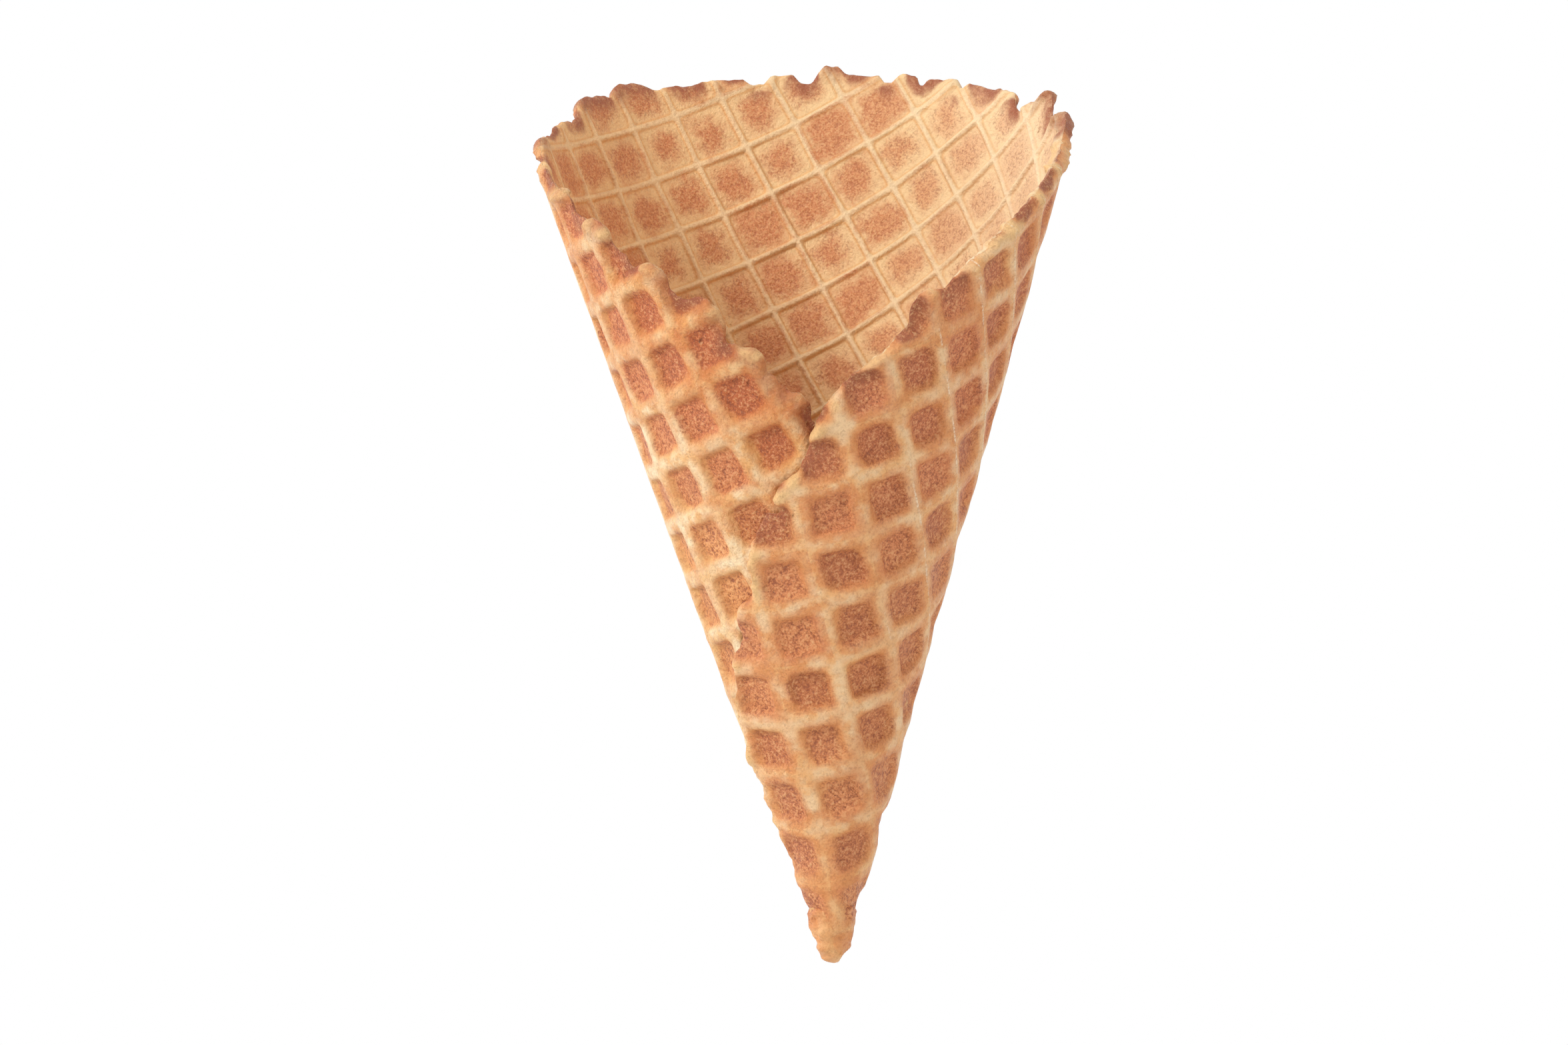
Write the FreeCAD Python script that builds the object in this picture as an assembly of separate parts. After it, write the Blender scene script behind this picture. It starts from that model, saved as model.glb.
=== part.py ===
import FreeCAD, Part
import math
import os

Vec = FreeCAD.Vector
Vec2 = FreeCAD.Base.Vector2d

# A rolled waffle cone: one round wafer, baked with a square lattice on both faces and rolled
# hot round a cone form. Millimetres and degrees, +Z up along the cone's axis, mouth upwards.

# The round wafer as it leaves the iron
disc_diameter = 159.0
web_thickness = 0.95       # between the floor of a pocket and the floor of the cell behind it
lattice_pitch = 9.5
lattice_turn = 25.5        # from the line that joins the tip and the disc's centre
lattice_along = -2.6       # crossing nearest the disc's centre, along the lattice
lattice_across = -0.89
rib_width = 3.2            # crest of a rib on the outside face
rib_height = 0.75
rib_slope = 0.9            # run of a pocket's sloping wall
ridge_width = 1.3          # crest of a ridge on the inside face
ridge_height = 0.4
ridge_slope = 0.2
edge_notch = 2.0           # how far the edge draws in between the ribs that run out there

# How the wafer is rolled
half_angle = 17.7
tip_inset = 2.25           # from the point that becomes the tip to the disc's edge
turn_clearance = 0.1       # between one turn and the next
sheet_foot = 8.0           # height where the turns end and the squeezed tip takes over
inner_end = 430.0          # rolled angle of the inner free end
pocket_start = 29.0        # distance from the tip where the first pockets open on the outside
ridge_start = 124.0        # distance from the tip where the ridges stand out on the inside

# The squeezed tip
nub_radius = 2.4
nub_round = 2.9            # height of the nub's rounded end
nub_flare = 0.45           # step from the foot of the turns to the nub's shoulder
nub_foot = 0.45            # height of the nub's end above the point that the wafer is rolled about
plug_top = 26.0            # height to which the tip is closed inside
plug_bite = 0.3            # how far the plug reaches into the turn round it
plug_dish = 4.0            # hollow in the plug's top

# The holder that carries the cone
seat_diameter = 50.0

# Worked out from the sizes above
disc_radius = disc_diameter / 2.0
disc_centre = disc_radius - tip_inset
inside_face = -(web_thickness / 2.0 + ridge_height)
outside_face = web_thickness / 2.0 + rib_height
sin_half = math.sin(math.radians(half_angle))
cos_half = math.cos(math.radians(half_angle))
tan_half = sin_half / cos_half
turn_growth = outside_face - inside_face + turn_clearance
apex_step = turn_growth / (2.0 * sin_half * cos_half)
seat_height = (seat_diameter / 2.0 - outside_face / cos_half) / tan_half
cell_overhang = lattice_pitch / 4.0    # a cell whose middle lies less than this off the edge is cut
cover_margin = lattice_pitch / 4.0     # a cell that lies further than this under a turn is left out

# How finely the edge is followed, and how far a cutter stands clear of the face that it cuts
edge_points_per_pitch = 4
edge_stride = math.radians(0.5)
edge_halvings = 40
tool_lift = 1.0
same_place = 1e-6


def generator(angle):
    return Vec(sin_half * math.cos(angle), sin_half * math.sin(angle), cos_half)


def outward(angle):
    return Vec(cos_half * math.cos(angle), cos_half * math.sin(angle), -sin_half)


def sideways(angle):
    return Vec(-math.sin(angle), math.cos(angle), 0.0)


def flat_turn(angle):
    return (angle - math.pi / 2.0) * sin_half


def flat_direction(angle):
    return Vec(math.cos(flat_turn(angle)), math.sin(flat_turn(angle)), 0.0)


def roll_apexes():
    # Each half turn is a true cone. Its apex lies further along the generator that it shares
    # with its neighbour, so the turns are tangent, grow outwards and unroll without stretch.
    rolled, flat = {0: Vec(0, 0, 0)}, {0: Vec(0, 0, 0)}
    for half in (1, 2):
        seam = half * math.pi
        rolled[half] = rolled[half - 1] + generator(seam) * apex_step
        flat[half] = flat[half - 1] + flat_direction(seam) * apex_step
    for half in (-1, -2):
        seam = (half + 1) * math.pi
        rolled[half] = rolled[half + 1] - generator(seam) * apex_step
        flat[half] = flat[half + 1] - flat_direction(seam) * apex_step
    return rolled, flat


rolled_apex, flat_apex = roll_apexes()


def roll_in(half, point):
    # Distance from the apex and rolled angle of a point of the flat wafer on one half turn
    arm = point - flat_apex[half]
    return arm.Length, math.atan2(arm.y, arm.x) / sin_half + math.pi / 2.0


def roll(point):
    for half in (0, -1, 1, -2, 2):
        reach, angle = roll_in(half, point)
        if half * math.pi <= angle <= (half + 1) * math.pi:
            return half, reach, angle
    return None


def rolled_point(half, reach, angle, height):
    return rolled_apex[half] + generator(angle) * reach + outward(angle) * height


def flat_point(half, reach, angle):
    return flat_apex[half] + flat_direction(angle) * reach


def lattice_axes():
    turn = math.radians(lattice_turn)
    return Vec(math.cos(turn), math.sin(turn), 0), Vec(-math.sin(turn), math.cos(turn), 0)


along, across = lattice_axes()
lattice_start = Vec(disc_centre, 0, 0) + along * lattice_along + across * lattice_across


def rib_share(distance):
    # 1 on the middle line of a rib, 0 midway between two ribs
    return 0.5 + 0.5 * math.cos(2.0 * math.pi * distance / lattice_pitch)


def edge_point(turn):
    # Point of the wafer's edge, drawn in where a cell runs out between two ribs
    spoke = Vec(math.cos(turn), math.sin(turn), 0)
    arm = Vec(disc_centre, 0, 0) + spoke * disc_radius - lattice_start
    rib = max(rib_share(arm.dot(along)), rib_share(arm.dot(across)))
    return Vec(disc_centre, 0, 0) + spoke * (disc_radius - edge_notch * (1.0 - rib))


def foot_reach(half):
    # Reach at which a half turn ends at its foot, never so low that it would close on itself
    closed = (plug_bite - inside_face * cos_half) / sin_half
    return max(sheet_foot / cos_half - half * apex_step, closed)


def in_half(half, turn):
    reach, angle = roll_in(half, edge_point(turn))
    last = math.radians(inner_end) if half == 2 else (half + 1) * math.pi
    return reach >= foot_reach(half) and half * math.pi <= angle <= last


def walk_edge(half, start, sign):
    # Follow the wafer's edge from a place on it until the edge leaves the half turn
    inside = start
    while in_half(half, inside + sign * edge_stride):
        inside += sign * edge_stride
    outside = inside + sign * edge_stride
    for _ in range(edge_halvings):
        middle = (inside + outside) / 2.0
        if in_half(half, middle):
            inside = middle
        else:
            outside = middle
    return inside


def edge_spans():
    # The stretch of the wafer's edge that each half turn holds, from the back round both ways
    spans = {0: [walk_edge(0, 0.0, -1), walk_edge(0, 0.0, 1)]}
    for sign in (1, -1):
        half, seam = sign, spans[0][max(sign, 0)]
        while abs(half) <= 2 and in_half(half, seam + sign * edge_stride):
            end = walk_edge(half, seam + sign * edge_stride, sign)
            spans[half] = sorted((seam, end))
            half, seam = half + sign, end
    return spans


def cone_surface(half, height):
    # The surface's own parameters are the rolled angle and the distance from its first circle
    radius = disc_radius * sin_half
    centre = rolled_apex[half] + Vec(0, 0, radius / tan_half - height / sin_half)
    return Part.makeCone(radius, 2.0 * radius, radius / tan_half, centre).Faces[0].Surface


def cone_parameters(half, reach, angle, height):
    whole_turns = math.floor(half / 2.0)
    return Vec2(angle - 2.0 * math.pi * whole_turns, reach + height / tan_half - disc_radius)


def half_outline(half, span):
    # Reach and rolled angle of the corners of one half turn: its foot, then back along the edge
    low, high = span
    count = max(2, round((high - low) * disc_radius / lattice_pitch * edge_points_per_pitch))
    turns = [low + (high - low) * step / count for step in range(count + 1)]
    rim = [roll_in(half, edge_point(turn)) for turn in turns]
    foot = foot_reach(half)
    corners = []
    for corner in [(foot, rim[0][1]), (foot, rim[-1][1])] + rim[::-1]:
        if not corners or math.dist(corner, corners[-1]) > same_place:
            corners.append(corner)
    return corners[1:] if math.dist(corners[0], corners[-1]) < same_place else corners


def half_sheet(half, span):
    # Smooth blank of one half turn, as thick as the ribs and ridges together
    corners = half_outline(half, span)
    sides = list(zip(corners, corners[1:] + corners[:1]))
    faces = []
    rings = []
    for height in (outside_face, inside_face):
        surface = cone_surface(half, height)
        edges = []
        for side in sides:
            ends = [cone_parameters(half, reach, angle, height) for reach, angle in side]
            edges.append(Part.Geom2d.Line2dSegment(*ends).toShape(surface))
        face = Part.Face(surface, Part.Wire(edges))
        face.validate()
        faces.append(face)
        rings.append(edges)
    for (start, end), outer, inner in zip(sides, *rings):
        if abs(start[1] - end[1]) < same_place:
            heights = (outside_face, outside_face, inside_face, inside_face)
            points = [rolled_point(half, *place, height)
                      for place, height in zip((start, end, end, start), heights)]
            faces.append(Part.Face(Part.makePolygon(points + points[:1])))
        else:
            faces.append(Part.makeRuledSurface(outer, inner))
    shell = Part.Shell(faces)
    shell.sewShape()
    sheet = Part.Solid(shell)
    return sheet if sheet.Volume > 0 else sheet.reversed()


def cutter(crest_width, slope, depth):
    # Square frustum with its small end on the floor of the cell and its wide end in the air
    floor_half = (lattice_pitch - crest_width) / 2.0 - slope
    wide_half = floor_half + slope * (depth + tool_lift) / depth
    return Part.makeWedge(-floor_half, 0, -floor_half, -wide_half, -wide_half,
                          floor_half, depth + tool_lift, floor_half, wide_half, wide_half)


def inside_disc(point, margin):
    return (point - Vec(disc_centre, 0, 0)).Length < disc_radius - margin


def covered(half, reach, angle, side):
    # True where the next turn on this side (-1 outside, 1 inside) hides the place
    twin = half + 2 * side
    if abs(twin) > 2:
        return False
    point = flat_point(twin, reach - 2 * side * apex_step, angle + 2 * side * math.pi)
    return inside_disc(point, cover_margin)


def lattice_cells():
    # Place on the rolled sheet of the middle of each cell that lies on the wafer
    count = math.ceil(disc_diameter / lattice_pitch)
    for row in range(-count, count):
        for column in range(-count, count):
            middle = lattice_start + (along * (row + 0.5) + across * (column + 0.5)) * lattice_pitch
            place = roll(middle) if inside_disc(middle, -cell_overhang) else None
            if place:
                yield place


def cell_cutters(shape, start, side):
    # The cutter set over every cell that shows on one face of the wafer, -1 outside and 1 inside
    floor = -side * web_thickness / 2.0
    placed = []
    for half, reach, angle in lattice_cells():
        if reach < start or covered(half, reach, angle, side):
            continue
        lean = math.radians(lattice_turn) - flat_turn(angle)
        first = generator(angle) * math.cos(lean) + sideways(angle) * math.sin(lean)
        up = outward(angle) * -side
        turn = FreeCAD.Rotation(first, up, first.cross(up), "YXZ")
        tool = shape.copy()
        tool.Placement = FreeCAD.Placement(rolled_point(half, reach, angle, floor), turn)
        placed.append((reach, angle, tool))
    return placed


def tools_for(half, placed):
    tools = []
    for reach, angle, tool in placed:
        slack = lattice_pitch / (reach * sin_half)
        if half * math.pi - slack < angle < (half + 1) * math.pi + slack:
            tools.append(tool)
    return tools


def squeezed_tip():
    # Turned nub below the turns, with a plug that closes the inner turn above it
    shoulder_radius = sheet_foot * tan_half + outside_face / cos_half + nub_flare
    shoulder_height = sheet_foot + web_thickness
    plug_foot = (shoulder_height - apex_step * cos_half) * tan_half + plug_bite
    plug_head = (plug_top - apex_step * cos_half) * tan_half + plug_bite
    low = Vec(0, 0, nub_foot)
    side = Vec(nub_radius, 0, nub_foot + nub_round)
    bend = low + Vec(nub_radius * math.sin(math.pi / 4), 0, nub_round * (1 - math.cos(math.pi / 4)))
    line = [side, Vec(shoulder_radius, 0, sheet_foot), Vec(plug_foot, 0, shoulder_height),
            Vec(plug_head, 0, plug_top), Vec(0, 0, plug_top - plug_dish), low]
    edges = [Part.Arc(low, bend, side).toShape()]
    edges += [Part.makeLine(p, q) for p, q in zip(line, line[1:])]
    turned = Part.Face(Part.Wire(edges)).revolve(Vec(0, 0, 0), Vec(0, 0, 1), 360)
    turned.translate(Vec(rolled_apex[1].x, 0, 0))
    return turned


def rolled_wafer():
    pockets = cell_cutters(cutter(rib_width, rib_slope, rib_height), pocket_start, -1)
    cells = cell_cutters(cutter(ridge_width, ridge_slope, ridge_height), ridge_start, 1)
    turns = []
    for half, span in edge_spans().items():
        sheet = half_sheet(half, span)
        tools = tools_for(half, pockets + cells)
        turns.append(sheet.cut(tools) if tools else sheet)
    wafer = turns[0].fuse(turns[1:] + [squeezed_tip()])
    wafer.translate(Vec(0, 0, -seat_height))
    return wafer.Solids[0]


os.makedirs("parts", exist_ok=True)
rolled_wafer().exportStep("parts/rolled_wafer.step")
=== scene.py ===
import bmesh
import bpy
import math
from mathutils import Matrix, Vector, noise


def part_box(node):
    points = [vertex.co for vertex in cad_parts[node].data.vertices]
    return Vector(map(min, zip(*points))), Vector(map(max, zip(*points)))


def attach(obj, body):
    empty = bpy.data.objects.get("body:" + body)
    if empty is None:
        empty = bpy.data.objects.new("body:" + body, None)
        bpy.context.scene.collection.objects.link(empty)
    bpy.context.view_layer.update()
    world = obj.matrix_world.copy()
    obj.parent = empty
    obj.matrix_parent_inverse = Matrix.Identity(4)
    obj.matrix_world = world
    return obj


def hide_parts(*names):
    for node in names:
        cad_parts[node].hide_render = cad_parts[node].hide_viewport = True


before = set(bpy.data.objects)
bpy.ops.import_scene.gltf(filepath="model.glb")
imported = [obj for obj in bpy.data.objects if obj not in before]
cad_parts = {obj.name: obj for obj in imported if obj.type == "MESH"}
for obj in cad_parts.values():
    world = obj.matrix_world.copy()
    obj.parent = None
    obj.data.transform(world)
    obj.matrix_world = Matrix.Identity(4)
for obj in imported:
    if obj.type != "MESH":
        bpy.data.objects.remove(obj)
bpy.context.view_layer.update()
mm = 0.001

# The round wafer before rolling, in millimetres, and degrees round its edge
wafer = {
    "discDiameter": 159.0,
    "tipInset": 2.25,            # from the point that becomes the tip to the disc's edge
    "pitch": 9.5,
    "latticeTurn": 25.5,
    "latticeAlong": -2.6,
    "latticeAcross": -0.89,
    # Grid lines from a rib to a pocket, then closer on the pockets' walls, then on the ridges
    "lineOffsets": (0.0, 0.42, 0.76, 1.16, 1.66, 2.22, 3.0, 4.75),
    "outerOffsets": (0.0, 0.6, 1.12, 1.38, 1.66, 1.98, 2.5, 4.75),
    "innerOffsets": (0.0, 0.26, 0.47, 0.66, 0.92, 1.5, 2.8, 4.75),
    "ownSpacing": (4.5, 8.0),    # from the rim, where each face takes its own spacing
    "lineWander": 0.27,
    "pocketBase": 0.24,          # from the sheet's middle to the floor of a pocket
    "ribHeight": 1.0,
    "ribCrown": 0.12,
    "pocketFloor": (2.2, 2.68),  # half width of a pocket's floor, where its walls are gentle and steep
    "pocketMouth": (3.66, 3.42),  # half width of a pocket where its walls end
    "leftWiden": 0.26,           # the pockets of the turn on the left are wider
    "leftFrom": (22.0, 32.0),    # degrees round the tip where that turn begins
    "steepBand": (-0.4, 0.4),
    "mouthWander": 0.4,
    "depthWander": 0.4,
    "pocketSquareness": 6.0,
    "cellBase": 0.475,           # from the sheet's middle to the floor of an inside cell
    "ridgeHeight": 0.55,
    "ridgeWidth": 0.52,
    "ridgeFade": (6.0, 24.0),    # degrees round the tip, over which the ridges get lower
    "ridgeLow": 0.65,
    "pillow": 0.16,              # how far a cell swells between the ridges
    "lumps": 0.1,
}

# Its ragged edge, where ribs run out as pale beads and cells are browned. Tufts and nicks are each
# an angle round the disc from the middle of the back, half a width in degrees, and a height.
rim = {
    "notch": (0.3, 1.0),         # how far a cell lies back where it is seen, and where it is hidden
    "hidden": (138.0, 150.0),
    "ragged": 0.5,
    "trim": 4.0,                 # the even grid ends this far inside the disc
    "least": 0.6,
    "rimBand": 3.0,              # what lies this close to the trimmed edge is finished as rim
    "footBand": 2.6,             # but not this close to the foot
    "merge": 0.035,              # in pitches, as is the next
    "split": 0.07,
    "rings": (0.28, 0.52, 0.71, 0.85, 0.945, 0.99, 1.0),
    "roundness": 1.1,
    "swell": 0.38,               # how much thicker a rib is where it runs out
    "swellReach": (0.6, 3.4),
    "frontBeads": (34.0, 48.0),  # the beads are full from here on, and fewer on the back
    "leftBeads": (40.0, 50.0),
    "crumbs": 0.4,               # roughness of the thickness near the edge
    "crumbReach": (0.8, 4.0),
    "tuftBand": (0.2, 1.6),      # how far past the disc an edge counts as a tuft
    "tufts": ((-103.0, 4.6, 1.3), (-88.3, 2.4, 2.1), (-48.3, 3.2, 2.4), (-39.6, 2.0, 2.6), (-4.0, 1.5, 1.6),
              (22.5, 2.6, 2.4), (29.5, 3.0, 1.9), (47.5, 2.6, 1.2), (63.8, 1.7, 1.8), (71.6, 2.2, 2.0),
              (81.3, 2.2, 2.0), (89.3, 2.9, 2.7), (96.7, 1.7, 1.6), (104.4, 1.6, 1.4)),
    "nicks": ((-136.5, 1.3, 0.9), (-129.0, 2.3, 1.7), (-118.5, 0.7, 2.0), (-112.8, 1.8, 1.2),
              (-110.3, 1.0, 0.8), (-95.2, 1.2, 0.6), (-43.2, 0.8, 1.2), (-33.3, 1.6, 2.6),
              (-22.0, 0.7, 1.2), (-16.0, 0.7, 1.3), (-11.5, 1.0, 1.6), (-0.9, 1.3, 1.7),
              (5.2, 1.4, 1.5), (34.6, 1.4, 0.8), (77.8, 0.9, 0.8), (93.0, 0.7, 0.8)),
}

# How the wafer is rolled, in millimetres and degrees
roll = {
    "halfAngle": 17.7,
    "growth": 2.2,               # from one turn to the next
    "foot": 6.0,                 # the sheet ends here, inside the squeezed tip
    "footSpacing": (2.0, 8.0),   # above the foot, where each face takes its own spacing
    "lean": 1.0,                 # sideways, greatest at leanAt from the tip
    "leanAt": 22.0,
    "leanWidth": 13.0,
    "tightFrom": 14.0,           # the turns lie closer below this distance from the tip
    "tightTo": 70.0,
    "tightShare": 0.45,
    "flatFrom": 12.0,            # the lattice is pressed flat below this distance from the tip
    "flatTo": 40.0,
    "flatShare": 0.5,
    "tipSwell": 0.5,             # the crumpled layers stand out this much more at the tip
    "swellReach": (9.0, 22.0),
    "tuck": 1.4,                 # and the free edge ends this far inside it
    "tuckGap": (1.0, 6.0),
    "tuckReach": (7.5, 13.0),
    "crease": 0.16,              # height of the folded rib crests on the right
    "creaseWidth": 0.3,
    "creaseFrom": (-68.0, -50.0),
    "creaseTo": (-8.0, 0.0),
    "creaseReach": (45.0, 58.0),
}

sinHalf = math.sin(math.radians(roll["halfAngle"]))
cosHalf = math.cos(math.radians(roll["halfAngle"]))
discRadius = wafer["discDiameter"] / 2
discCentre = discRadius - wafer["tipInset"]
trimRadius = discRadius - rim["trim"]
latticeTurn = math.radians(wafer["latticeTurn"])
alongX, alongY = math.cos(latticeTurn), math.sin(latticeTurn)
startX = discCentre + wafer["latticeAlong"] * alongX - wafer["latticeAcross"] * alongY
startY = wafer["latticeAlong"] * alongY + wafer["latticeAcross"] * alongX


def smoothStep(low, high, value):
    share = min(max((value - low) / (high - low), 0.0), 1.0)
    return share * share * (3 - 2 * share)


def mixed(first, second, share):
    return first + (second - first) * share


def wobble(x, y, size, seed):
    return noise.noise(Vector((x / size, y / size, seed)))


def flatOf(a, b):
    # From lattice lines, counted in pitches, to the flat wafer with the tip at its origin
    pitch = wafer["pitch"]
    return startX + (a * alongX - b * alongY) * pitch, startY + (a * alongY + b * alongX) * pitch


def latticeOf(x, y):
    x, y = (x - startX) / wafer["pitch"], (y - startY) / wafer["pitch"]
    return x * alongX + y * alongY, y * alongX - x * alongY


def lineGap(value):
    # Distance to the nearest lattice line
    return abs(value - round(value)) * wafer["pitch"]


def ribShare(a, b):
    return max(0.5 + 0.5 * math.cos(2 * math.pi * value) for value in (a, b))


def generator(angle):
    return Vector((sinHalf * math.cos(angle), sinHalf * math.sin(angle), cosHalf))


def outward(angle):
    return Vector((cosHalf * math.cos(angle), cosHalf * math.sin(angle), -sinHalf))


def rollApexes():
    # Each half turn is a true cone, tangent to its neighbours along the lines where they meet
    step = roll["growth"] / (2 * sinHalf * cosHalf)
    rolled, flat = {0: Vector((0, 0, 0))}, {0: (0.0, 0.0)}
    for sign in (1, -1):
        for half in range(sign, 4 * sign, sign):
            seam = (half if sign > 0 else half + 1) * math.pi
            turn = (seam - math.pi / 2) * sinHalf
            x, y = flat[half - sign]
            rolled[half] = rolled[half - sign] + generator(seam) * step * sign
            flat[half] = (x + math.cos(turn) * step * sign, y + math.sin(turn) * step * sign)
    return rolled, flat


rolledApex, flatApex = rollApexes()


def rollPoint(x, y):
    # Place on the rolled sheet's middle, the direction out of the cone, and the rolled angle
    for half in (0, -1, 1, -2, 2, -3, 3):
        dx, dy = x - flatApex[half][0], y - flatApex[half][1]
        angle = math.atan2(dy, dx) / sinHalf + math.pi / 2
        if half * math.pi <= angle <= (half + 1) * math.pi:
            break
    reach = math.hypot(x, y)
    tight = mixed(roll["tightShare"], 1.0, smoothStep(roll["tightFrom"], roll["tightTo"], reach))
    single = generator(angle) * reach
    place = rolledApex[half] + generator(angle) * math.hypot(dx, dy)
    place = single.lerp(place, tight)
    place.x += roll["lean"] * math.exp(-((reach - roll["leanAt"]) / roll["leanWidth"]) ** 2)
    return place, outward(angle), angle


def edgeRadius(turn):
    degrees = math.degrees(turn)
    x, y = discCentre + discRadius * math.cos(turn), discRadius * math.sin(turn)
    notch = mixed(*rim["notch"], smoothStep(*rim["hidden"], abs(degrees)))
    between = (1 - ribShare(*latticeOf(x, y))) ** 1.3
    radius = discRadius - notch * between * (1 + 0.5 * wobble(x, y, 7.0, 3.1))
    radius += rim["ragged"] * (wobble(x, y, 3.4, 8.2) + 0.7 * wobble(x, y, 1.2, 5.7))
    for marks, sign in ((rim["tufts"], 1), (rim["nicks"], -1)):
        for middle, width, height in marks:
            radius += sign * height * math.exp(-((degrees - middle) / width) ** 4)
    return max(radius, trimRadius + rim["least"])


def outsideHeight(a, b, x, y):
    half, n = wafer["pitch"] / 2, wafer["pocketSquareness"]
    span = ((half - lineGap(a)) ** n + (half - lineGap(b)) ** n) ** (1 / n)
    widen = wafer["leftWiden"] * smoothStep(*wafer["leftFrom"], math.degrees(math.atan2(y, x)))
    steep = smoothStep(*wafer["steepBand"], wobble(x, y, 15.0, 26.3))
    floor, mouth = mixed(*wafer["pocketFloor"], steep), mixed(*wafer["pocketMouth"], steep)
    rib = smoothStep(floor, mouth, span - widen + wafer["mouthWander"] * wobble(x, y, 3.2, 21.4))
    crown = wafer["ribCrown"] * smoothStep(mouth, half, span)
    lumps = wafer["lumps"] * (wobble(x, y, 5.0, 1.7) + 0.5 * wobble(x, y, 1.8, 9.3))
    depth = wafer["ribHeight"] * (1 + wafer["depthWander"] * wobble(x, y, 13.0, 16.2))
    return wafer["pocketBase"] + wafer["ribHeight"] - depth * (1 - rib) + crown + lumps


def insideHeight(a, b, x, y):
    half = wafer["pitch"] / 2
    width = wafer["ridgeWidth"] * (1 + 0.3 * wobble(x, y, 6.0, 15.1))
    ridge = math.exp(-(min(lineGap(a), lineGap(b)) / width) ** 4)
    ridge *= min(max(0.85 + 1.1 * wobble(x, y, 14.0, 11.6), 0.3), 1.2)
    faded = smoothStep(*wafer["ridgeFade"], math.degrees(math.atan2(y, x)))
    ridge *= mixed(1.0, wafer["ridgeLow"], faded)
    swell = wafer["pillow"] * lineGap(a) * lineGap(b) / half ** 2
    lumps = wafer["lumps"] * (wobble(x, y, 4.0, 6.4) + 0.5 * wobble(x, y, 1.6, 2.8))
    return -(wafer["cellBase"] + wafer["ridgeHeight"] * ridge + swell + lumps)


def gridLine(value, steps):
    # Moves an even grid line to the uneven spacing that ribs and ridges need
    line = round(value)
    offset = wafer["lineOffsets"][round(abs(value - line) * steps)] / wafer["pitch"]
    return line + math.copysign(offset, value - line)


def faceLine(value, offsets):
    # Moves a line of the common grid to the spacing that one face of the wafer needs
    line, common = round(value), wafer["lineOffsets"]
    gap = min(lineGap(value), common[-1])
    for low, high, first, last in zip(common, common[1:], offsets, offsets[1:]):
        if gap <= high:
            break
    moved = mixed(first, last, (gap - low) / (high - low)) / wafer["pitch"]
    return line + math.copysign(moved, value - line)


def edgePolar(co):
    x, y = flatOf(co.x, co.y)
    return math.hypot(x - discCentre, y), math.atan2(y, x - discCentre)


def edgeGap(co):
    radius, turn = edgePolar(co)
    return edgeRadius(turn) - radius


def reachOf(co):
    return math.hypot(*flatOf(co.x, co.y))


def setEdge(vert, share):
    # Slides a vertex along its spoke of the disc, from the trimmed grid, 0, to the ragged edge, 1
    turn = edgePolar(vert.co)[1]
    radius = mixed(trimRadius, edgeRadius(turn), share)
    a, b = latticeOf(discCentre + radius * math.cos(turn), radius * math.sin(turn))
    vert.co = (a, b, 0)


def trimmedGrid():
    # Flat lattice grid, in pitches, cut to the disc and open at the tip
    bm = bmesh.new()
    cells = math.ceil(discRadius / wafer["pitch"])
    steps = 2 * (len(wafer["lineOffsets"]) - 1)
    bmesh.ops.create_grid(bm, x_segments=2 * cells * steps, y_segments=2 * cells * steps, size=cells)
    outside = set()
    for vert in bm.verts:
        vert.co = (gridLine(vert.co.x, steps), gridLine(vert.co.y, steps), 0)
        if edgePolar(vert.co)[0] > trimRadius or reachOf(vert.co) < roll["foot"]:
            outside.add(vert)
    spare = [face for face in bm.faces if any(vert in outside for vert in face.verts)]
    bmesh.ops.delete(bm, geom=spare, context="FACES")
    return bm


def rimEdges(bm):
    return [edge for edge in bm.edges if edge.is_boundary
            and all(edgePolar(vert.co)[0] > trimRadius - rim["rimBand"]
                    and reachOf(vert.co) > roll["foot"] + rim["footBand"] for vert in edge.verts)]


def finishEdge(bm):
    # Rings of faces from the trimmed grid out to the ragged edge
    for _ in range(2):
        # In the order of the edges, so that the same vertices merge in every run
        border = list(dict.fromkeys(vert for edge in rimEdges(bm) for vert in edge.verts))
        for vert in border:
            setEdge(vert, 0)
        bmesh.ops.remove_doubles(bm, verts=border, dist=rim["merge"])
        wide = [edge for edge in rimEdges(bm) if edge.calc_length() > rim["split"]]
        bmesh.ops.subdivide_edges(bm, edges=wide, cuts=1)
    edges = rimEdges(bm)
    for share in rim["rings"]:
        made = bmesh.ops.extrude_edge_only(bm, edges=edges)["geom"]
        fresh = {item for item in made if isinstance(item, bmesh.types.BMVert)}
        edges = [item for item in made if isinstance(item, bmesh.types.BMEdge)
                 and item.verts[0] in fresh and item.verts[1] in fresh]
        for vert in fresh:
            setEdge(vert, share)


def beadShare(a, b, x, y, gap):
    # How much of a rib's pale bead there is, near the rim
    turn = math.degrees(math.atan2(y, x - discCentre))
    bead = ribShare(a, b) ** 5 * smoothStep(-0.5, 0.1, wobble(x, y, 6.0, 12.3))
    front, left = smoothStep(*rim["frontBeads"], abs(turn)), smoothStep(*rim["leftBeads"], turn)
    bead *= mixed(0.45, 1.0, front) * mixed(1.0, 0.75, left)
    return bead * (1 - smoothStep(*rim["swellReach"], gap))


def creaseShare(a, angle, reach):
    # The ribs that cross the bend on the right are folded along their crests
    turned = smoothStep(*roll["creaseFrom"], angle) * (1 - smoothStep(*roll["creaseTo"], angle))
    turned *= smoothStep(*roll["creaseReach"], reach)
    return turned * math.exp(-(lineGap(a) / roll["creaseWidth"]) ** 2)


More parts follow.
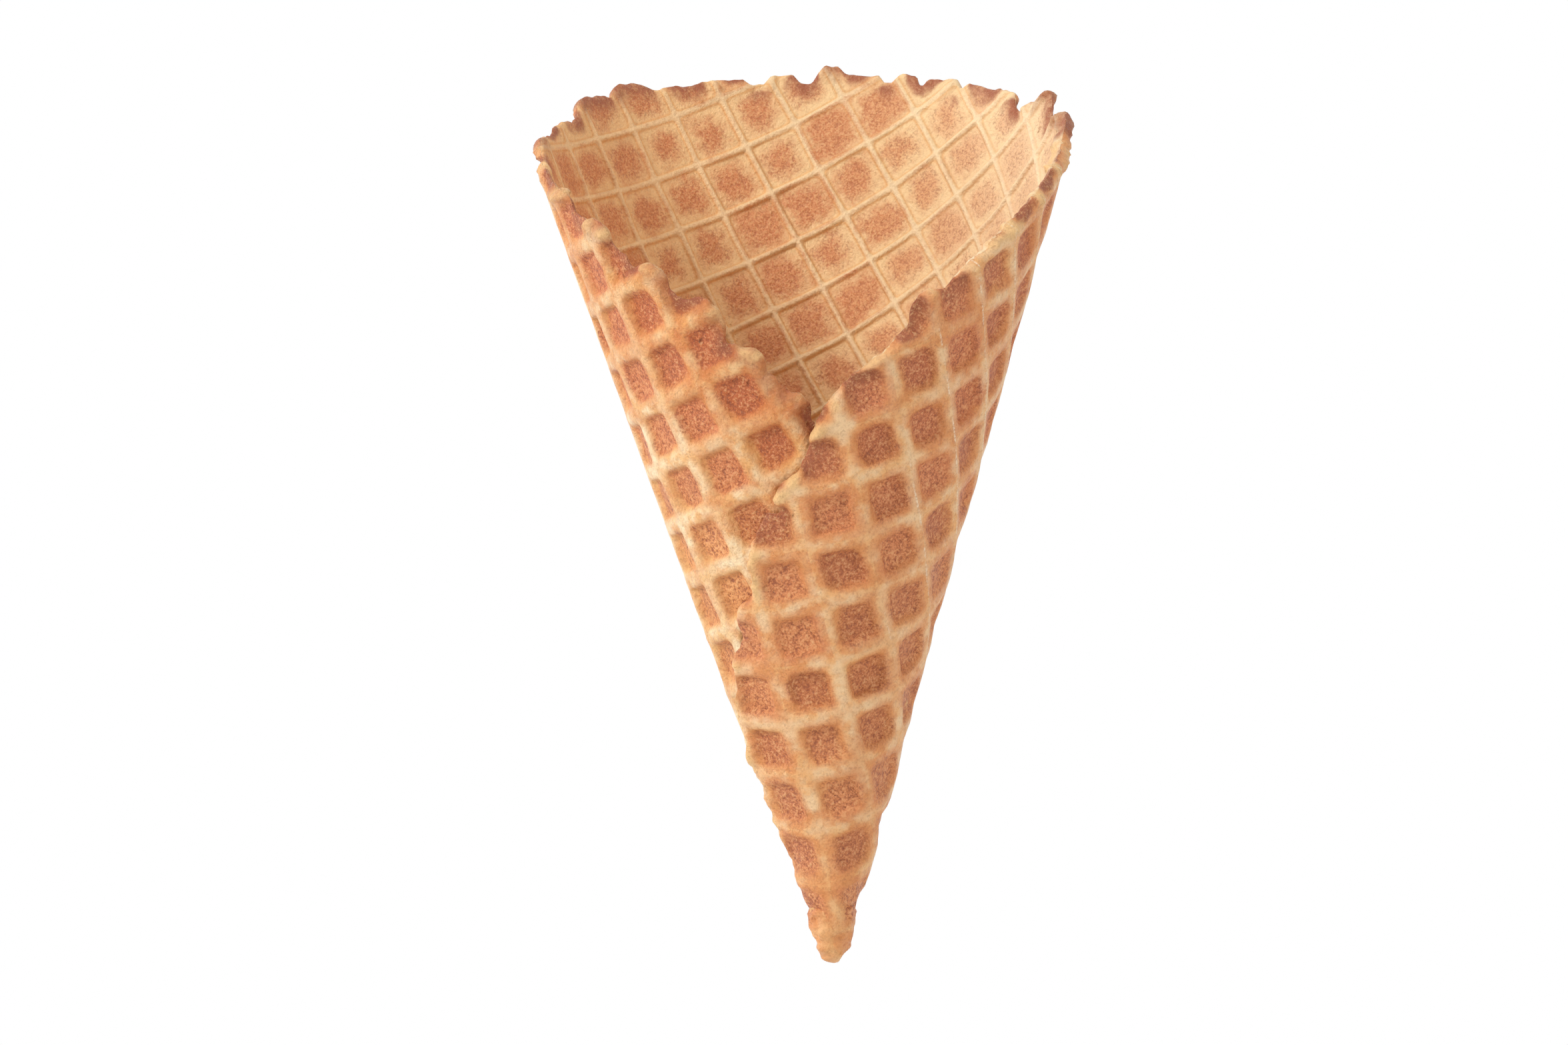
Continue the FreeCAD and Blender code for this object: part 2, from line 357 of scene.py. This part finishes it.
def sheetHeight(a, b, x, y, gap, side):
    # Distance of one face of the wafer from its middle, rounded off at the rim
    reach = math.hypot(x, y)
    height = outsideHeight(a, b, x, y) if side > 0 else insideHeight(a, b, x, y)
    height *= mixed(roll["flatShare"], 1.0, smoothStep(roll["flatFrom"], roll["flatTo"], reach))
    height *= 1 + rim["swell"] * beadShare(a, b, x, y, gap)
    crumbs = wobble(x, y, 2.2, 31.0 + side) + 0.6 * wobble(x, y, 1.0, 35.0 + side)
    height *= 1 + rim["crumbs"] * crumbs * (1 - smoothStep(*rim["crumbReach"], gap))
    bend = min(max(gap, 0.0) / rim["roundness"], 1.0)
    return height * math.sqrt(1 - (1 - bend) ** 2)


def addPiece(bm, name):
    mesh = bpy.data.meshes.new(name)
    bm.to_mesh(mesh)
    bm.free()
    mesh.shade_smooth()
    piece = bpy.data.objects.new(name, mesh)
    bpy.context.scene.collection.objects.link(piece)
    print(name, "has", len(mesh.polygons), "faces")
    return piece


def buildWafer():
    bm = trimmedGrid()
    finishEdge(bm)
    latticeLayer = bm.verts.layers.float_vector.new("latticePlace")
    bakeLayer = bm.verts.layers.float_vector.new("bakePlace")
    rimLayer = bm.verts.layers.float_vector.new("rimPlace")
    sheet = bm.verts[:]
    copied = bmesh.ops.duplicate(bm, geom=sheet + bm.edges[:] + bm.faces[:])["geom"]
    inner = {item for item in copied if isinstance(item, bmesh.types.BMVert)}
    closing = [vert for vert in bm.verts if vert.is_boundary]
    closed = set(closing)
    for vert in bm.verts:
        a, b, _ = vert.co
        side = -1 if vert in inner else 1
        offsets = wafer["outerOffsets" if side > 0 else "innerOffsets"]
        away = smoothStep(*wafer["ownSpacing"], edgeGap(vert.co))
        away *= smoothStep(*roll["footSpacing"], reachOf(vert.co) - roll["foot"])
        a, b = mixed(a, faceLine(a, offsets), away), mixed(b, faceLine(b, offsets), away)
        x, y = flatOf(a, b)
        gap, reach = edgeGap(Vector((a, b, 0))), math.hypot(x, y)
        height = 0 if vert in closed else sheetHeight(a, b, x, y, gap, side)
        wander = wafer["lineWander"] * smoothStep(0, 6, gap)
        place, normal, angle = rollPoint(x + wander * wobble(x, y, 11.0, 4.4),
                                         y + wander * wobble(x, y, 11.0, 7.9))
        angle = math.degrees(angle)
        crease = creaseShare(a, angle, reach)
        vert[latticeLayer] = (a, b, side)
        vert[bakeLayer] = (max(gap, 0), reach, angle)
        tuft = smoothStep(*rim["tuftBand"], edgeRadius(math.atan2(y, x - discCentre)) - discRadius)
        vert[rimLayer] = (beadShare(a, b, x, y, gap), crease, tuft)
        # Folded crests fade out at the rim, where both faces have to meet
        folded = 0 if vert in closed else crease * (side > 0) * smoothStep(0, rim["roundness"], gap)
        height += roll["crease"] * folded + roll["tipSwell"] * (1 - smoothStep(*roll["swellReach"], reach))
        tucked = (1 - smoothStep(*roll["tuckGap"], gap)) * (1 - smoothStep(*roll["tuckReach"], reach))
        height -= roll["tuck"] * tucked
        place += normal * height
        vert.co = (place.x * mm, place.y * mm, (place.z - seatHeight) * mm)
    bmesh.ops.remove_doubles(bm, verts=closing, dist=0.01 * mm)
    bmesh.ops.recalc_face_normals(bm, faces=bm.faces[:])
    return addPiece(bm, "rolledWafer")


# The crumpled tip: height above the rolling point and radius, both in millimetres
tip = {
    "rise": 0.45,                # the solid's tip above the rolling point
    "profile": ((0.35, 0.0), (0.45, 0.6), (0.7, 1.1), (1.2, 1.55), (1.9, 2.0), (2.7, 2.35), (3.6, 2.5),
                (4.5, 2.85), (5.5, 3.25), (6.6, 3.65), (7.6, 3.95), (8.6, 4.05), (9.4, 3.7), (10.6, 2.6),
                (12.0, 0.0)),
    "around": 84,
    "rings": 72,
    "crumple": 0.8,
    "foldSizes": (2.8, 1.2),
    "smoothWithin": 1.5,         # the folds die out inside this radius
    "rimGap": 20,                # the tip is coloured as if it lay this far from the rim
    "lean": 0.15,
}
seatHeight = tip["rise"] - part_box("rolled_wafer")[0].z / mm


def profileRadius(height):
    points = tip["profile"]
    for (low, first), (high, second) in zip(points, points[1:]):
        if height <= high:
            return mixed(first, second, max(height - low, 0) / (high - low))
    return 0.0


def buildTip():
    bm = bmesh.new()
    bmesh.ops.create_uvsphere(bm, u_segments=tip["around"], v_segments=tip["rings"], radius=1)
    latticeLayer = bm.verts.layers.float_vector.new("latticePlace")
    bakeLayer = bm.verts.layers.float_vector.new("bakePlace")
    rimLayer = bm.verts.layers.float_vector.new("rimPlace")
    low, high = tip["profile"][0][0], tip["profile"][-1][0]
    for vert in bm.verts:
        around = math.atan2(vert.co.y, vert.co.x)
        height = mixed(low, high, 0.5 + math.asin(max(min(vert.co.z, 1), -1)) / math.pi)
        radius = profileRadius(height)
        spot = Vector((radius * math.cos(around), radius * math.sin(around), height))
        large, small = tip["foldSizes"]
        folds = noise.noise(spot / large + Vector((3, 1, 5))) + 0.5 * noise.noise(spot / small)
        wide = min(radius / tip["smoothWithin"], 1)
        radius += tip["crumple"] * folds * wide
        turn = (-abs(around) - math.pi / 2) * sinHalf
        reach = height / cosHalf
        a, b = latticeOf(reach * math.cos(turn), reach * math.sin(turn))
        vert[latticeLayer] = (a, b, 1)
        vert[bakeLayer] = (tip["rimGap"], reach, -abs(math.degrees(around)))
        vert[rimLayer] = (0, 0, 0)
        vert.co = ((tip["lean"] + radius * math.cos(around)) * mm, radius * math.sin(around) * mm,
                   (height - seatHeight) * mm)
    bmesh.ops.recalc_face_normals(bm, faces=bm.faces[:])
    return addPiece(bm, "squeezedTip")


# Colours as they look in daylight, from 0 to 255
baking = {
    "pocket": ((0.0, (210, 121, 74)), (0.52, (214, 127, 77)), (0.64, (223, 140, 82)),
               (0.76, (226, 147, 86)), (0.90, (232, 156, 92)), (1.0, (240, 177, 113))),
    # Inside cells: the darker stop at 0.875 is painted shade along the foot of each ridge, and the palest
    # stops on the ridge tops are partly the ridges' own paleness, partly a painted highlight
    "cell": ((0.0, (247, 207, 149)), (0.79, (248, 211, 156)), (0.875, (237, 185, 122)),
             (0.92, (247, 213, 162)), (1.0, (249, 219, 172))),
    "toast": (213, 136, 83),     # the middle of an inside cell
    # painted light on the lit inside wall to the right, and painted shade on the cells round the back and
    # left
    "paintedLightCell": (250, 230, 198),
    "shadedCell": (247, 224, 202),
    "lightPocket": (232, 156, 92),
    "cream": (252, 228, 186),
    "amber": (222, 143, 78),
    "bead": (241, 194, 131),
    "golden": (245, 197, 129),
    "nick": (160, 86, 48),
    "dark": (220, 196, 182),     # the most baked pockets are this much darker
    "caramel": (243, 214, 184),
    "pore": (112, 58, 34),
    "grainDark": (158, 82, 48),
    "grainLight": (248, 196, 140),
    # near-white specks painted in as sparkle highlights
    "paintedSparkle": (255, 226, 188),
    "glint": (255, 236, 206),
    "roughness": (0.3, 0.58),
    "specular": 0.46,
    "spans": ((4.2, 0.5), (3.0, 0.8), (12.0, 0.0)),   # squareness and wander of pockets, cells, ridges
    "broad": (0.42, 2.0),        # blotches to a pitch and their detail, as are the next three
    "mottle": (2.4, 4.0),
    "patchy": (4.6, 3.0),
    "smear": (1.1, 3.0),
    "grainTurn": (0.6, 0.9, 0.4),
    "clumpSize": 0.95,           # millimetres, as are the next four
    "grainSize": 0.37,
    "sugarSize": 0.2,
    "poreSize": 0.62,
    "grainDepth": 0.28,
}

# Where each tint shows: the values between which it comes or goes, and its share at both, 0 and 1 if
# left out. They are degrees round the roll, millimetres from the tip or the rim, or levels of a pattern.
bands = {
    "outside": (-0.3, 0.3),
    "ribs": (0.6, 0.8),
    "leftShift": (170.0, 200.0, 0.0, -0.05),
    "leftStart": (175.0, 190.0),
    "leftEnd": (215.0, 300.0, 0.9, 0.0),
    "lowLighter": (50.0, 105.0, 0.4, 0.0),
    "leftLighter": (62.0, 92.0, 1.0, 0.12),
    "darkCells": (0.2, 1.0, 0.0, 0.7),
    "leftDark": (175.0, 190.0, 1.0, 0.6),
    "gilded": (60.0, 110.0, 0.8, 0.5),
    "sunny": (0.5, 0.66, 0.0, 0.5),
    "sunnyLeft": (150.0, 190.0, 0.35, 1.0),
    "amber": (0.4, 0.62),
    "amberSmear": (0.42, 0.62, 0.7, 0.15),
    "creamCrest": (0.6, 0.96),
    "creamMottle": (0.36, 0.6),
    "creamSmear": (0.38, 0.58, 0.3, 1.0),
    "creamTip": (10.0, 30.0, 0.3, 1.0),
    "creamLeft": (150.0, 190.0, 0.5, 1.0),
    "toast": (0.3, 1.1, 1.0, 0.0),
    "toastLeft": (10.0, 85.0, 0.52, 1.0),
    "toastGrain": (0.4, 0.66, 1.0, 0.7),
    "paintedLightRight": (10.0, 75.0, 0.36, 0.0),
    "shadedLeft": (60.0, 150.0, 0.0, 0.8),
    "leftTurn": (170.0, 200.0),
    "leftGap": (4.0, 30.0, 1.0, 0.0),
    "leftBroad": (0.3, 0.7, 0.5, 1.0),
    "nearRim": (0.5, 4.5, 1.0, 0.0),
    "backStart": (-8.0, 2.0),
    "backEnd": (178.0, 188.0, 1.0, 0.0),
    "leftRim": (178.0, 190.0, 0.0, 0.6),
    "singedMottle": (0.32, 0.56, 0.4, 1.0),
    "singedTip": (55.0, 95.0, 0.25, 1.0),
    "knob": (0.1, 0.9, 0.0, 0.9),
    "knobMottle": (0.36, 0.56, 0.45, 1.0),
    "crest": (0.5, 0.95),
    "crestPatches": (0.42, 0.6),
    "crestGrain": (0.36, 0.6, 0.1, 0.75),
    "somePits": (0.5, 0.6),
    "pit": (0.05, 0.24, 1.0, 0.0),
    "pitPocket": (0.5, 0.9, 0.5, 0.04),
    "grainPocket": (0.5, 0.8, 1.05, 0.28),
    "grainInside": (0.0, 1.0, 0.5, 1.0),
    "grainLow": (0.34, 0.54, 0.9, 0.0),
    "grainHigh": (0.49, 0.67, 0.0, 0.45),
    "paintedSparkle": (0.56, 0.74),
    "paintedSparklePocket": (0.5, 0.8, 0.2, 0.05),
    "shine": (0.35, 0.65),
    "bumpInside": (0.0, 1.0, 0.75, 1.0),
}


def colour(values):
    return tuple(math.pow((v / 255 + 0.055) / 1.055, 2.4) if v > 10 else v / 3295 for v in values) + (1,)


def addNode(tree, kind, inputs=(), **settings):
    node = tree.nodes.new(kind)
    for name, value in settings.items():
        setattr(node, name, value)
    for name, value in dict(inputs).items():
        if isinstance(value, bpy.types.NodeSocket):
            tree.links.new(value, node.inputs[name])
        else:
            node.inputs[name].default_value = value
    return node


def calc(tree, operation, *values):
    return addNode(tree, "ShaderNodeMath", enumerate(values), operation=operation).outputs[0]


def spread(tree, value, low, high, first=0.0, last=1.0):
    inputs = {"Value": value, "From Min": low, "From Max": high, "To Min": first, "To Max": last}
    return addNode(tree, "ShaderNodeMapRange", inputs, interpolation_type="SMOOTHSTEP").outputs["Result"]


def band(tree, value, name):
    return spread(tree, value, *bands[name])


def times(tree, first, *others):
    for value in others:
        first = calc(tree, "MULTIPLY", first, value)
    return first


def plus(tree, first, *others):
    for value in others:
        first = calc(tree, "ADD", first, value)
    return first


def swing(tree, value, amount):
    # A pattern's swing round its middle
    return calc(tree, "MULTIPLY_ADD", value, amount, -amount / 2)


def blendColour(tree, share, first, second, mode="MIX"):
    inputs = {0: share, 6: first, 7: second}
    return addNode(tree, "ShaderNodeMix", inputs, data_type="RGBA", blend_type=mode).outputs[2]


def tint(tree, share, under, name, mode="MIX"):
    return blendColour(tree, share, under, colour(baking[name]), mode)


def ramp(tree, value, stops):
    node = addNode(tree, "ShaderNodeValToRGB", {"Fac": value})
    elements = node.color_ramp.elements
    for index, (position, values) in enumerate(stops):
        element = elements[index] if index < 2 else elements.new(position)
        element.position = position
        element.color = colour(values)
    return node.outputs["Color"]


def speckle(tree, place, scale, detail=3.0, roughness=0.6):
    inputs = {"Vector": place, "Scale": scale, "Detail": detail, "Roughness": roughness}
    return addNode(tree, "ShaderNodeTexNoise", inputs).outputs["Fac"]


def latticeGroup():
    # From the middle of a cell, 0, to the middle of the rib or ridge round it, 1
    tree = bpy.data.node_groups.new("latticeSpan", "ShaderNodeTree")
    tree.interface.new_socket("Lattice", in_out="INPUT", socket_type="NodeSocketVector")
    tree.interface.new_socket("Squareness", in_out="INPUT", socket_type="NodeSocketFloat")
    tree.interface.new_socket("Wander", in_out="INPUT", socket_type="NodeSocketFloat")
    tree.interface.new_socket("Span", in_out="OUTPUT", socket_type="NodeSocketFloat")
    tree.interface.new_socket("Cell", in_out="OUTPUT", socket_type="NodeSocketFloat")
    entry = tree.nodes.new("NodeGroupInput")
    parts = addNode(tree, "ShaderNodeSeparateXYZ", {0: entry.outputs["Lattice"]})
    total = None
    for axis, seed in ((0, 1.3), (1, 7.7)):
        shift = addNode(tree, "ShaderNodeTexNoise", {"Vector": entry.outputs["Lattice"], "W": seed,
                                                     "Scale": 1.1, "Detail": 5.0, "Roughness": 0.62},
                        noise_dimensions="4D")
        shift = calc(tree, "SUBTRACT", shift.outputs["Fac"], 0.5)
        line = calc(tree, "MULTIPLY_ADD", shift, entry.outputs["Wander"], parts.outputs[axis])
        away = calc(tree, "SUBTRACT", 1.0, calc(tree, "MULTIPLY", calc(tree, "PINGPONG", line, 0.5), 2.0))
        power = calc(tree, "POWER", away, entry.outputs["Squareness"])
        total = power if total is None else calc(tree, "ADD", total, power)
    root = calc(tree, "DIVIDE", 1.0, entry.outputs["Squareness"])
    floor = addNode(tree, "ShaderNodeVectorMath", {0: entry.outputs["Lattice"]}, operation="FLOOR")
    random = addNode(tree, "ShaderNodeTexWhiteNoise", {"Vector": floor.outputs[0]}, noise_dimensions="3D")
    leave = tree.nodes.new("NodeGroupOutput")
    tree.links.new(calc(tree, "POWER", total, root), leave.inputs["Span"])
    tree.links.new(random.outputs["Value"], leave.inputs["Cell"])
    return tree


def waferMaterial():
    material = bpy.data.materials.new("bakedWafer")
    material.use_nodes = True
    tree = material.node_tree
    shader = tree.nodes["Principled BSDF"]
    lattice = addNode(tree, "ShaderNodeAttribute", attribute_name="latticePlace").outputs["Vector"]
    bake = addNode(tree, "ShaderNodeAttribute", attribute_name="bakePlace").outputs["Vector"]
    side = addNode(tree, "ShaderNodeSeparateXYZ", {0: lattice}).outputs["Z"]
    gap, reach, angle = addNode(tree, "ShaderNodeSeparateXYZ", {0: bake}).outputs
    edge = addNode(tree, "ShaderNodeAttribute", attribute_name="rimPlace").outputs["Vector"]
    bead, crease, tuft = addNode(tree, "ShaderNodeSeparateXYZ", {0: edge}).outputs
    outside = band(tree, side, "outside")

    group = latticeGroup()
    spans = []
    for squareness, wander in baking["spans"]:
        inputs = {"Lattice": lattice, "Squareness": squareness, "Wander": wander}
        spans.append(addNode(tree, "ShaderNodeGroup", inputs, node_tree=group).outputs)
    pocket, cell, ridge = (outputs["Span"] for outputs in spans)
    pocketCell, toastCell = spans[0]["Cell"], spans[1]["Cell"]

    broad = speckle(tree, lattice, *baking["broad"])
    mottle = speckle(tree, lattice, *baking["mottle"])
    patchy = speckle(tree, lattice, *baking["patchy"])
    smear = speckle(tree, lattice, *baking["smear"])
    place = addNode(tree, "ShaderNodeTexCoord").outputs["Object"]
    place = addNode(tree, "ShaderNodeMapping", {"Vector": place, "Rotation": baking["grainTurn"]}).outputs[0]
    grain = speckle(tree, place, 1 / (baking["grainSize"] * mm), 5.0, 0.68)
    clumps = speckle(tree, place, 1 / (baking["clumpSize"] * mm), 2.0)
    rough = calc(tree, "MULTIPLY_ADD", grain, 0.9, calc(tree, "MULTIPLY_ADD", clumps, 0.5, -0.2))
    sparkle = speckle(tree, place, 1 / (baking["sugarSize"] * mm), 2.0)

    # Outside: brown pockets between golden ribs, the ribs creamy in some places and amber in others
    shift = plus(tree, swing(tree, mottle, 0.5), swing(tree, grain, 0.24), swing(tree, smear, 0.56),
                 swing(tree, pocketCell, 0.24), band(tree, angle, "leftShift"))
    outer = ramp(tree, calc(tree, "ADD", pocket, shift), baking["pocket"])
    ribs = band(tree, pocket, "ribs")
    hollows = calc(tree, "SUBTRACT", 1.0, ribs)
    leftLow = times(tree, band(tree, angle, "leftStart"), band(tree, angle, "leftEnd"))
    lighter = plus(tree, band(tree, reach, "lowLighter"),
                   times(tree, leftLow, band(tree, reach, "leftLighter")))
    outer = tint(tree, times(tree, lighter, hollows), outer, "lightPocket")
    darker = times(tree, band(tree, pocketCell, "darkCells"), hollows, band(tree, angle, "leftDark"))
    outer = tint(tree, darker, outer, "dark", "MULTIPLY")
    gilded = times(tree, leftLow, ribs, band(tree, reach, "gilded"))
    outer = tint(tree, gilded, outer, "golden")
    sunny = times(tree, band(tree, smear, "sunny"), ribs, band(tree, angle, "sunnyLeft"))
    outer = tint(tree, sunny, outer, "golden")
    amber = times(tree, band(tree, patchy, "amber"), band(tree, smear, "amberSmear"), ribs)
    outer = tint(tree, amber, outer, "amber")
    # Cream along the rib crests: partly the batter's own pale spines, partly a painted highlight, stronger
    # on the lit turn to the left
    creamAndHighlight = times(tree, band(tree, ridge, "creamCrest"), band(tree, mottle, "creamMottle"),
                   band(tree, smear, "creamSmear"), band(tree, reach, "creamTip"),
                   band(tree, angle, "creamLeft"))
    outer = tint(tree, creamAndHighlight, outer, "cream")

    # Inside: pale golden cells, each with a patch of toast brushed over its grain
    # The ramp paints shade along the foot of each ridge and a partly painted highlight on its top
    inner = ramp(tree, ridge, baking["cell"])
    extent = plus(tree, swing(tree, toastCell, 0.5), swing(tree, patchy, 0.9), swing(tree, grain, 0.3))
    toast = times(tree, band(tree, calc(tree, "ADD", cell, extent), "toast"),
                  band(tree, angle, "toastLeft"), band(tree, grain, "toastGrain"))
    inner = tint(tree, toast, inner, "toast")
    # Painted light makes the lit inside wall on the right paler and less saturated, and painted shade
    # darkens and warms the cells round the back and left
    inner = tint(tree, band(tree, angle, "paintedLightRight"), inner, "paintedLightCell")
    inner = tint(tree, band(tree, angle, "shadedLeft"), inner, "shadedCell", "MULTIPLY")

    # The turn on the left was toasted more, most of all near the rim
    left = times(tree, band(tree, angle, "leftTurn"), band(tree, gap, "leftGap"),
                 band(tree, broad, "leftBroad"))
    outer = tint(tree, left, outer, "caramel", "MULTIPLY")
    face = blendColour(tree, outside, inner, outer)

    # The rim: browned nicks, creamy beads and the glint of folded crests
    crust = times(tree, band(tree, angle, "backStart"), band(tree, angle, "backEnd"), tuft)
    singed = calc(tree, "MAXIMUM", calc(tree, "MAXIMUM", crust, band(tree, angle, "leftRim")), hollows)
    browned = times(tree, band(tree, gap, "nearRim"), singed, band(tree, mottle, "singedMottle"),
                    band(tree, reach, "singedTip"))
    face = tint(tree, browned, face, "nick")
    knob = times(tree, band(tree, bead, "knob"), band(tree, mottle, "knobMottle"),
                 calc(tree, "MULTIPLY_ADD", crust, -0.8, 1.0))
    face = tint(tree, knob, face, "bead")
    glint = times(tree, band(tree, crease, "crest"), band(tree, patchy, "crestPatches"),
                  band(tree, grain, "crestGrain"))
    face = tint(tree, glint, face, "glint")

    # Pores, grain and painted sparkle highlights, strongest in the pockets
    pits = addNode(tree, "ShaderNodeTexVoronoi", {"Vector": place, "Scale": 1 / (baking["poreSize"] * mm)})
    pores = times(tree, band(tree, pits.outputs["Distance"], "pit"),
                  band(tree, pits.outputs["Color"], "somePits"), band(tree, pocket, "pitPocket"), outside)
    face = tint(tree, pores, face, "pore")
    depth = times(tree, band(tree, pocket, "grainPocket"), band(tree, outside, "grainInside"))
    face = tint(tree, times(tree, band(tree, rough, "grainLow"), depth), face, "grainDark")
    face = tint(tree, times(tree, band(tree, rough, "grainHigh"), depth), face, "grainLight")
    # Painted sparkle: near-white specks painted into the colour as highlights, mostly in the pockets
    paintedSparkle = times(tree, band(tree, sparkle, "paintedSparkle"), band(tree, pocket, "paintedSparklePocket"))
    face = tint(tree, paintedSparkle, face, "paintedSparkle")
    tree.links.new(face, shader.inputs["Base Color"])

    shader.inputs["Specular IOR Level"].default_value = baking["specular"]
    shine = spread(tree, sparkle, *bands["shine"], *baking["roughness"])
    tree.links.new(shine, shader.inputs["Roughness"])
    height = calc(tree, "ADD", grain, calc(tree, "MULTIPLY", sparkle, 0.4))
    height = calc(tree, "MULTIPLY_ADD", clumps, 2.2, height)
    height = calc(tree, "SUBTRACT", height, calc(tree, "MULTIPLY", pores, 0.9))
    height = calc(tree, "MULTIPLY", height, band(tree, outside, "bumpInside"))
    bump = addNode(tree, "ShaderNodeBump", {"Height": height, "Strength": 0.9,
                                            "Distance": baking["grainDepth"] * mm})
    tree.links.new(bump.outputs["Normal"], shader.inputs["Normal"])
    return material


bakedWafer = waferMaterial()
for piece in (buildWafer(), buildTip()):
    piece.data.materials.append(bakedWafer)
    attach(piece, "root")
    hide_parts("rolled_wafer")
print("wafer rolled and baked")

# The photograph's view: level with the middle of the cone, from far off, a little turned
cameraView = {
    "place": (-0.00535, -1.1927, 0.00043),
    "down": 0.081,
    "roll": -2.174,
    "lens": 166.63,
    "sensor": 36.0,
}


def addCamera():
    lens = bpy.data.cameras.new("photoView")
    lens.lens = cameraView["lens"]
    lens.sensor_width = cameraView["sensor"]
    lens.clip_end = 50
    camera = bpy.data.objects.new("photoView", lens)
    bpy.context.scene.collection.objects.link(camera)
    level = Matrix.Rotation(math.radians(90 - cameraView["down"]), 4, "X")
    turn = Matrix.Rotation(math.radians(cameraView["roll"]), 4, "Z")
    camera.matrix_world = Matrix.Translation(cameraView["place"]) @ level @ turn
    bpy.context.scene.camera = camera


studio = {
    "floorDrop": 0.15,
    "floorSize": 12.0,
    "shadowReach": (0.45, 0.9),  # the floor is shaded inside the first and white past the second
    "floorColour": (0.92, 0.92, 0.92, 1),
    "floorRoughness": 0.9,
    "worldLight": 0.44,
    "lamps": (
        ("keyLamp", (-0.95, -0.7, 0.7), 0.4, 10.5),
        ("sideLamp", (-1.1, 0.35, 0.4), 0.7, 4.5),
        ("topLamp", (-0.1, -0.3, 1.2), 0.8, 2.9),
        ("fillLamp", (1.0, -0.5, 0.35), 0.9, 3.6),
    ),
}


def seenDirectly(tree):
    path = tree.nodes.new("ShaderNodeLightPath")
    seen = calc(tree, "MAXIMUM", path.outputs["Is Camera Ray"], path.outputs["Is Glossy Ray"])
    return calc(tree, "MAXIMUM", seen, path.outputs["Is Transmission Ray"])


def floorMaterial():
    material = bpy.data.materials.new("floorWhite")
    material.use_nodes = True
    tree = material.node_tree
    shader = tree.nodes["Principled BSDF"]
    shader.inputs["Base Color"].default_value = studio["floorColour"]
    shader.inputs["Roughness"].default_value = studio["floorRoughness"]
    place = addNode(tree, "ShaderNodeTexCoord").outputs["Object"]
    away = addNode(tree, "ShaderNodeVectorMath", {0: place}, operation="LENGTH").outputs["Value"]
    far = calc(tree, "MULTIPLY", spread(tree, away, *studio["shadowReach"]), seenDirectly(tree))
    white = addNode(tree, "ShaderNodeEmission", {"Strength": 1.0})
    mix = addNode(tree, "ShaderNodeMixShader", {0: far, 1: shader.outputs[0], 2: white.outputs[0]})
    tree.links.new(mix.outputs[0], tree.nodes["Material Output"].inputs["Surface"])
    return material


def addStudio():
    bm = bmesh.new()
    bmesh.ops.create_grid(bm, x_segments=1, y_segments=1, size=studio["floorSize"])
    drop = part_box("rolled_wafer")[0].z - studio["floorDrop"]
    bmesh.ops.translate(bm, verts=bm.verts, vec=(0, 0, drop))
    floor = addPiece(bm, "studioFloor")
    floor.data.materials.append(floorMaterial())
    world = bpy.data.worlds.new("studio")
    bpy.context.scene.world = world
    world.use_nodes = True
    tree = world.node_tree
    background = tree.nodes["Background"]
    background.inputs["Color"].default_value = (1, 1, 1, 1)
    tree.links.new(spread(tree, seenDirectly(tree), 0.0, 1.0, studio["worldLight"], 1.0),
                   background.inputs["Strength"])
    for name, place, size, power in studio["lamps"]:
        lamp = bpy.data.lights.new(name, "AREA")
        lamp.shape = "DISK"
        lamp.size = size
        lamp.energy = power
        holder = bpy.data.objects.new(name, lamp)
        bpy.context.scene.collection.objects.link(holder)
        holder.location = place
        holder.rotation_euler = (-Vector(place)).to_track_quat("-Z", "Y").to_euler()


addCamera()
addStudio()
bpy.context.scene.view_settings.view_transform = "Standard"
print("camera and studio ready")
